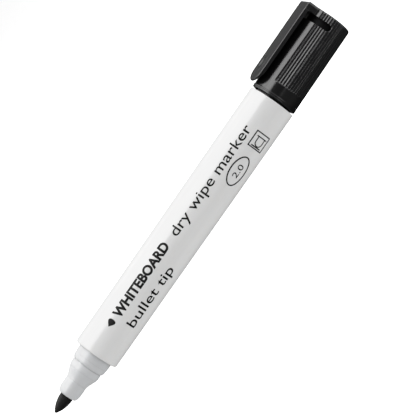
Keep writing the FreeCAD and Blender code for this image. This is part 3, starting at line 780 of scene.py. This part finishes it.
def clip_solid(x, y, z):
    # the blade in plan, a little narrower and lower once inside the head
    inset = 0.05 * smooth((x - HEAD_X) / 0.15)
    length = ROUND_X - CLIP_X0
    end_x = np.minimum(x - ROUND_X, 0)
    reach = np.sqrt((end_x / length) ** 2 + (y / CLIP_HALF) ** 2)
    slope = np.sqrt((end_x / (length * length)) ** 2 + (y / (CLIP_HALF * CLIP_HALF)) ** 2)
    end = reach * (reach - 1) / np.maximum(slope, 1e-6)
    plan = np.where(x < ROUND_X, end, np.abs(y) - CLIP_HALF) + inset
    # it thins towards its free end
    top = HEAD_Z - 0.13 * np.clip((CAP_X1 - 6.0 - x) / 24.6, 0, 1)
    low = HEAD_Z - 1.5 + 0.72 * smooth((CAP_X1 - 26.2 - x) / 5.2)
    blade = cut_round(plan, z - top + inset, 0.35)
    blade = cut_round(blade, low - z, 0.22)
    # a bead across the underside
    bead = cut_round(np.hypot(x - BEAD_X, z - BEAD_Z) - BEAD_R, np.abs(y) - BEAD_HALF, 0.2)
    blade = join_round(blade, bead, 0.35)
    root = cut_round(np.abs(y) - CLIP_HALF + 0.05, z - HEAD_Z + 0.05, 0.3)
    root = cut_round(root, (HEAD_Z - 2.4) - z, 0.2)
    root = np.maximum(root, (HEAD_X + 0.05) - x)
    blade = join_round(blade, root, 0.55)
    # the fillet mustn't swell the blade past its own outline, nor out of the head
    outline = cut_round(np.abs(y) - CLIP_HALF + inset, z - HEAD_Z + inset, 0.35)
    blade = np.maximum(blade, outline)
    blade = cut_round(blade, x - (HEAD_X + 1.5), 0.1)
    # a round dish in the top, with a flat button in its middle
    ball_z = z - (DISH_FLOOR + DISH_BALL_R)
    dish = np.sqrt((x - DISH_X) ** 2 + y ** 2 + ball_z ** 2) - DISH_BALL_R
    button = cut_round(np.hypot(x - DISH_X, y) - BUTTON_R,
                       z - (DISH_FLOOR + BUTTON_HEIGHT), 0.06)
    dish = cut_round(dish, -button, 0.05)
    return cut_round(blade, -dish, 0.07)


def add_clip():
    along = stations(
        CLIP_X0 - 0.2, (CLIP_X0 + 2.0, 0.11), (CAP_X1 - 27.4, 0.2), (CAP_X1 - 21.4, 0.12),
        (HEAD_X - 0.8, 0.55), (HEAD_X - 0.04, 0.1), (HEAD_X + 0.08, 0.04),
        (HEAD_X + 0.4, 0.1), (HEAD_X + 1.7, 0.13))
    across = stations(-CLIP_HALF - 0.15, (-CLIP_HALF + 0.6, 0.1), (CLIP_HALF - 0.6, 0.14),
                      (CLIP_HALF + 0.15, 0.1))
    upwards = stations(HEAD_Z - 2.6, (HEAD_Z - 1.3, 0.12), (HEAD_Z - 0.6, 0.1),
                       (HEAD_Z + 0.15, 0.07))
    clip = nets("pocket_clip", clip_solid, (along, across, upwards),
                lambda x, y, z: (x, y, z), BLACK,
                limits=((CLIP_X0, -CLIP_HALF, -CLIP_HALF), (CAP_X1, CLIP_HALF, HEAD_Z)))
    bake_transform(clip)
    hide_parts("cap_clip")


# ------------------------------------------------------------------------- print
# Artwork is a list of flat polygons of (u, v) points in millimetres: u runs from the
# barrel's nib end towards the cap, v from the line's middle towards the clip.
PRINT_PROUD, PRINT_SUNK = 0.022, 0.03
STRIP = 0.3                         # artwork is cut this often so that it can bend


def wrap_print(name, polys, mid_deg):
    """Makes artwork a thin closed skin on the barrel. Its middle line lies mid_deg round
    from +Z towards -Y."""
    bm = bmesh.new()
    for poly in polys:
        bm.faces.new([bm.verts.new((u, v, 0)) for u, v in poly])
    bmesh.ops.remove_doubles(bm, verts=bm.verts, dist=1e-4)
    low = min(q.co.y for q in bm.verts)
    high = max(q.co.y for q in bm.verts)
    v = math.ceil(low / STRIP) * STRIP + 0.003
    while v < high:
        bmesh.ops.bisect_plane(bm, geom=list(bm.verts) + list(bm.edges) + list(bm.faces),
                               dist=1e-6, plane_co=(0, v, 0), plane_no=(0, 1, 0))
        v += STRIP
    bmesh.ops.dissolve_degenerate(bm, dist=1e-4, edges=bm.edges)
    bmesh.ops.recalc_face_normals(bm, faces=bm.faces)
    bm.verts.index_update()
    count = len(bm.verts)

    def on_barrel(point, lift):
        x = BAR_X0 + point.x
        r = barrel_r(x)
        a = math.radians(mid_deg) - point.y / r
        return (x, -(r + lift) * math.sin(a), (r + lift) * math.cos(a))

    def upward_loop(face):
        loop = [q.index for q in face.verts]
        return loop[::-1] if face.normal.z < 0 else loop

    verts = [on_barrel(q.co, lift) for lift in (PRINT_PROUD, -PRINT_SUNK) for q in bm.verts]
    faces = []
    for face in bm.faces:
        loop = upward_loop(face)
        faces.append(tuple(loop))
        faces.append(tuple(q + count for q in reversed(loop)))
    for edge in bm.edges:
        if len(edge.link_faces) == 1:
            loop = upward_loop(edge.link_faces[0])
            a, b = edge.verts[0].index, edge.verts[1].index
            if loop[(loop.index(a) + 1) % len(loop)] != b:
                a, b = b, a
            faces.append((b, a, a + count, b + count))
    bm.free()
    register(make_object(name, verts, faces, INK, sharp=30))


def text_polys(body, weight):
    """Polygons of a text in Blender's own plain face, thickened by weight."""
    curve = bpy.data.curves.new("type", "FONT")
    curve.body = body
    curve.size = 1.0
    curve.offset = weight
    curve.resolution_u = 6
    curve.fill_mode = "FRONT"
    obj = bpy.data.objects.new("type", curve)
    bpy.context.scene.collection.objects.link(obj)
    bpy.context.view_layer.update()
    mesh = bpy.data.meshes.new_from_object(obj)
    polys = [[tuple(mesh.vertices[i].co.xy) for i in p.vertices] for p in mesh.polygons]
    bpy.data.objects.remove(obj)
    bpy.data.curves.remove(curve)
    bpy.data.meshes.remove(mesh)
    return polys


def words(text, start, width, height, weight=0.0, tall="H"):
    """Text from u = start, scaled to width, with the letter named by tall set to height."""
    polys = text_polys(text, weight)
    rule = [v for poly in text_polys(tall, weight) for _, v in poly]
    base, top = min(rule), max(rule)
    across = [u for poly in polys for u, _ in poly]
    left, right = min(across), max(across)
    wide, high = width / (right - left), height / (top - base)
    return [[((u - left) * wide + start, (v - base) * high - height / 2) for u, v in poly]
            for poly in polys]


def stroke(points, width, closed=False):
    """A line of even width through points, as quads with mitred joints."""
    pts = [np.array(p, float) for p in points]
    count = len(pts)
    ways = []
    for i in range(count):
        way = pts[(i + 1) % count] - pts[i]
        ways.append(way / np.linalg.norm(way))
    left, right = [], []
    for i in range(count):
        arrive = ways[i - 1] if closed or i > 0 else ways[0]
        leave = ways[i] if closed or i < count - 1 else ways[i - 1]
        mitre = np.array([-arrive[1], arrive[0]]) + np.array([-leave[1], leave[0]])
        mitre = mitre / (mitre @ mitre) * 2 * (width / 2)
        left.append(pts[i] + mitre)
        right.append(pts[i] - mitre)
    polys = []
    for i in range(count if closed else count - 1):
        j = (i + 1) % count
        polys.append([tuple(right[i]), tuple(right[j]), tuple(left[j]), tuple(left[i])])
    return polys


def oval(centre_u, half_u, half_v, count=56):
    turns = [2 * math.pi * i / count for i in range(count)]
    return [(centre_u + half_u * math.cos(t), half_v * math.sin(t)) for t in turns]


def drop(start, length, half, count=40):
    """An ink drop lying along the pen, its point towards the nib."""
    pts = []
    for i in range(count):
        t = 2 * math.pi * i / count
        u = (1 - math.cos(t)) / 2
        pts.append((length * u + start, half * 1.3 * math.sin(t) * (u ** 0.8)))
    return [[pts[0], pts[i], pts[i + 1]] for i in range(1, count - 1)]


def tip_pictogram():
    """A square frame with a round-nosed outline, its base bar and a line before it."""
    left, right, half = 82.6, 88.0, 2.75
    base_u, nose_u, nose_v = 86.7, 84.9, -0.1
    nose_length, nose_half = 1.35, 1.3
    art = stroke([(left, -half), (right, -half), (right, half), (left, half)],
                 width=0.36, closed=True)
    nose = [(nose_u + nose_length * math.cos(t), nose_half * math.sin(t) + nose_v)
            for t in np.linspace(math.pi / 2, 3 * math.pi / 2, 17)]
    nose = [(base_u, nose_v + nose_half)] + nose + [(base_u, nose_v - nose_half)]
    art += stroke(nose, width=0.32)
    art += stroke([(base_u, 1.9), (base_u, -2.1)], width=0.32)
    art += stroke([(83.2, -1.9), (83.2, 1.9)], width=0.4)
    return art


def add_prints():
    text_start = 14.0
    art = drop(start=10.0, length=2.7, half=1.45)
    art += words("WHITEBOARD", text_start, width=28.0, height=3.4, weight=0.042)
    art += words("dry wipe marker", 45.6, width=41.8, height=3.35, weight=0.005)
    wrap_print("print_main", art, mid_deg=61.8)
    art = words("bullet tip", text_start, width=22.6, height=3.35, weight=0.005)
    wrap_print("print_second", art, mid_deg=104.5)
    badge = stroke(oval(centre_u=73.8, half_u=5.2, half_v=2.75), width=0.42, closed=True)
    badge += words("2.0", 71.5, width=4.6, height=2.0, tall="2")
    wrap_print("print_width_badge", badge, mid_deg=104.0)
    wrap_print("print_tip_pictogram", tip_pictogram(), mid_deg=106.0)


add_barrel()
add_nib_holder()
add_nib()
add_reservoir()
add_tail_plug()
add_cap_liner()
add_cap()
add_clip()
add_prints()

# -------------------------------------------------------------- floor, light, camera
scene = bpy.context.scene
LOOK = math.radians(75.5)           # from the clip's side round to the camera
TO_CAMERA = Vector((0, -math.sin(LOOK), math.cos(LOOK)))
TO_CLIP_SIDE = Vector((0, math.cos(LOOK), math.sin(LOOK)))
box_lo, box_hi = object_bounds()
PEN_MIDDLE = (box_lo + box_hi) / 2
# brightness of the sky, the floor's glow, the backdrop and reflections past the cap's end
SKY, FLOOR_GLOW, BACKDROP, END_GLOW = 0.80, 0.84, 1.40, 2.0


def coordinates(tree, kind):
    """The x, y and z outputs of a texture coordinate."""
    split = tree.nodes.new("ShaderNodeSeparateXYZ")
    tree.links.new(tree.nodes.new("ShaderNodeTexCoord").outputs[kind], split.inputs[0])
    return split.outputs


def floor_material():
    """Pale to the camera; to every other ray a plain glow, which reflections see brighter
    towards the camera's side (-Y) and past the cap's end (+X)."""
    mat = bpy.data.materials.new("pale_floor")
    tree = empty_tree(mat)
    out = tree.nodes.new("ShaderNodeOutputMaterial")
    mix = tree.nodes.new("ShaderNodeMixShader")
    glow = tree.nodes.new("ShaderNodeEmission")
    seen = tree.nodes.new("ShaderNodeBsdfPrincipled")
    speck = ramp(tree, noise(tree, scale=60.0), low=0, high=1)
    colour = tint(tree, speck, dark=(0.90, 0.90, 0.90), light=(0.93, 0.93, 0.93))
    tree.links.new(colour, seen.inputs["Base Color"])
    seen.inputs["Roughness"].default_value = 0.9
    seen.inputs["Specular IOR Level"].default_value = 0.1
    seen.inputs["Emission Color"].default_value = (1, 1, 1, 1)
    seen.inputs["Emission Strength"].default_value = 0.68
    ray = tree.nodes.new("ShaderNodeLightPath").outputs
    place = coordinates(tree, "Object")
    across = ramp(tree, place["Y"], low=0.30, high=0.03, start=-0.045, end=0.0)
    far = ramp(tree, place["X"], low=0.0, high=END_GLOW, start=0.22, end=0.34)
    both = tree.nodes.new("ShaderNodeMath")
    tree.links.new(across, both.inputs[0])
    tree.links.new(far, both.inputs[1])
    strength = pick(tree, ray["Is Glossy Ray"], FLOOR_GLOW, both.outputs[0])
    tree.links.new(strength, glow.inputs["Strength"])
    tree.links.new(ray["Is Camera Ray"], mix.inputs[0])
    tree.links.new(glow.outputs[0], mix.inputs[1])
    tree.links.new(seen.outputs[0], mix.inputs[2])
    tree.links.new(mix.outputs[0], out.inputs[0])
    return mat


def add_floor():
    """A flat sheet a little below the pen."""
    mesh = bpy.data.meshes.new("floor")
    bm = bmesh.new()
    bmesh.ops.create_grid(bm, x_segments=24, y_segments=24, size=6.0)
    bmesh.ops.translate(bm, verts=bm.verts, vec=(0.08, 0.5, -0.075))
    bm.to_mesh(mesh)
    bm.free()
    obj = bpy.data.objects.new("floor", mesh)
    scene.collection.objects.link(obj)
    mesh.materials.append(floor_material())


def add_world():
    """A sky that brightens towards +X, with its own levels for reflections and camera."""
    world = bpy.data.worlds.new("studio")
    scene.world = world
    tree = empty_tree(world)
    out = tree.nodes.new("ShaderNodeOutputWorld")
    back = tree.nodes.new("ShaderNodeBackground")
    ray = tree.nodes.new("ShaderNodeLightPath").outputs
    way = coordinates(tree, "Generated")
    sky = ramp(tree, way["X"], low=0.62 * SKY, high=1.06 * SKY, start=-0.9, end=0.0)
    mirrored = ramp(tree, way["X"], low=0.30, high=END_GLOW, start=0.40, end=0.62)
    level = pick(tree, ray["Is Glossy Ray"], sky, mirrored)
    level = pick(tree, ray["Is Camera Ray"], level, BACKDROP)
    tree.links.new(level, back.inputs["Strength"])
    tree.links.new(back.outputs[0], out.inputs[0])


def add_softbox(name, round_deg, wide_deg, power, diffuse=True, along=0.0):
    """A softbox that runs along the pen, round_deg round from the camera towards the
    clip's side and wide_deg wide as the pen sees it. power is per square metre, along
    shifts it towards the cap."""
    distance, length = 0.8, 1.6
    a = math.radians(round_deg)
    place = PEN_MIDDLE + (TO_CAMERA * math.cos(a) + TO_CLIP_SIDE * math.sin(a)) * distance
    z = (place - PEN_MIDDLE).normalized()
    place.x += along
    light = bpy.data.lights.new(name, "AREA")
    light.shape = "RECTANGLE"
    light.size = length
    light.size_y = 2 * distance * math.tan(math.radians(wide_deg / 2))
    light.energy = power * light.size * light.size_y
    obj = bpy.data.objects.new(name, light)
    scene.collection.objects.link(obj)
    x = Vector((1, 0, 0))
    y = z.cross(x).normalized()
    turned = Matrix((x, y, z)).transposed().to_4x4()
    obj.matrix_world = Matrix.Translation(place) @ turned
    obj.visible_camera = False
    obj.visible_diffuse = diffuse


def add_camera():
    """Nearly square to the pen, which climbs to the right in the picture."""
    foot_x, distance = 0.0750, 0.620
    aim_x, aim_side = 0.08168, 0.00267      # aim_side is away from the clip
    climb = math.radians(55.145)
    view_width = 0.133333333                # what the picture spans at the target
    x_axis = Vector((1, 0, 0))
    eye = Vector((foot_x, 0, 0)) + TO_CAMERA * distance
    side = (-TO_CAMERA).cross(x_axis).normalized()
    target = Vector((aim_x, 0, 0)) + side * aim_side
    ahead = (target - eye).normalized()
    pen = (x_axis - ahead * ahead.x).normalized()
    square = pen.cross(ahead).normalized()
    right = pen * math.cos(climb) - square * math.sin(climb)
    up = right.cross(ahead).normalized()
    lens = bpy.data.cameras.new("camera")
    cam = bpy.data.objects.new("camera", lens)
    scene.collection.objects.link(cam)
    turned = Matrix((right, up, -ahead)).transposed().to_4x4()
    cam.matrix_world = Matrix.Translation(eye) @ turned
    lens.sensor_width = 36.0
    lens.lens = (target - eye).length * 36.0 / view_width
    lens.clip_start = 0.01
    lens.clip_end = 50.0
    scene.camera = cam


def set_tone():
    """A camera's tone curve: whites roll off gently, the deepest blacks go deeper."""
    white_at = 1.3
    # (scene brightness, shown brightness) between black and white
    tone = [(0.02, 0.010), (0.06, 0.045), (0.20, 0.18), (0.55, 0.52), (0.70, 0.665),
            (0.85, 0.785), (1.05, 0.875), (1.2, 0.925)]
    scene.view_settings.view_transform = "Standard"
    scene.view_settings.look = "None"
    scene.view_settings.use_curve_mapping = True
    mapping = scene.view_settings.curve_mapping
    mapping.white_level = (white_at, white_at, white_at)
    points = mapping.curves[3].points
    points[0].location = (0.0, 0.0)
    points[1].location = (1.0, 1.0)
    for level, shown in tone:
        points.new(level / white_at, shown)
    mapping.update()


add_floor()
add_world()
add_softbox("overhead_softbox", round_deg=76.5, wide_deg=29, power=6.7, along=0.05)
add_softbox("overhead_softbox_far", round_deg=113.5, wide_deg=33, power=6.7, along=0.05)
add_softbox("highlight_strip", round_deg=51.5, wide_deg=27, power=18.5, diffuse=False)
add_softbox("highlight_fill", round_deg=80, wide_deg=24, power=8.5, diffuse=False)
add_camera()
set_tone()
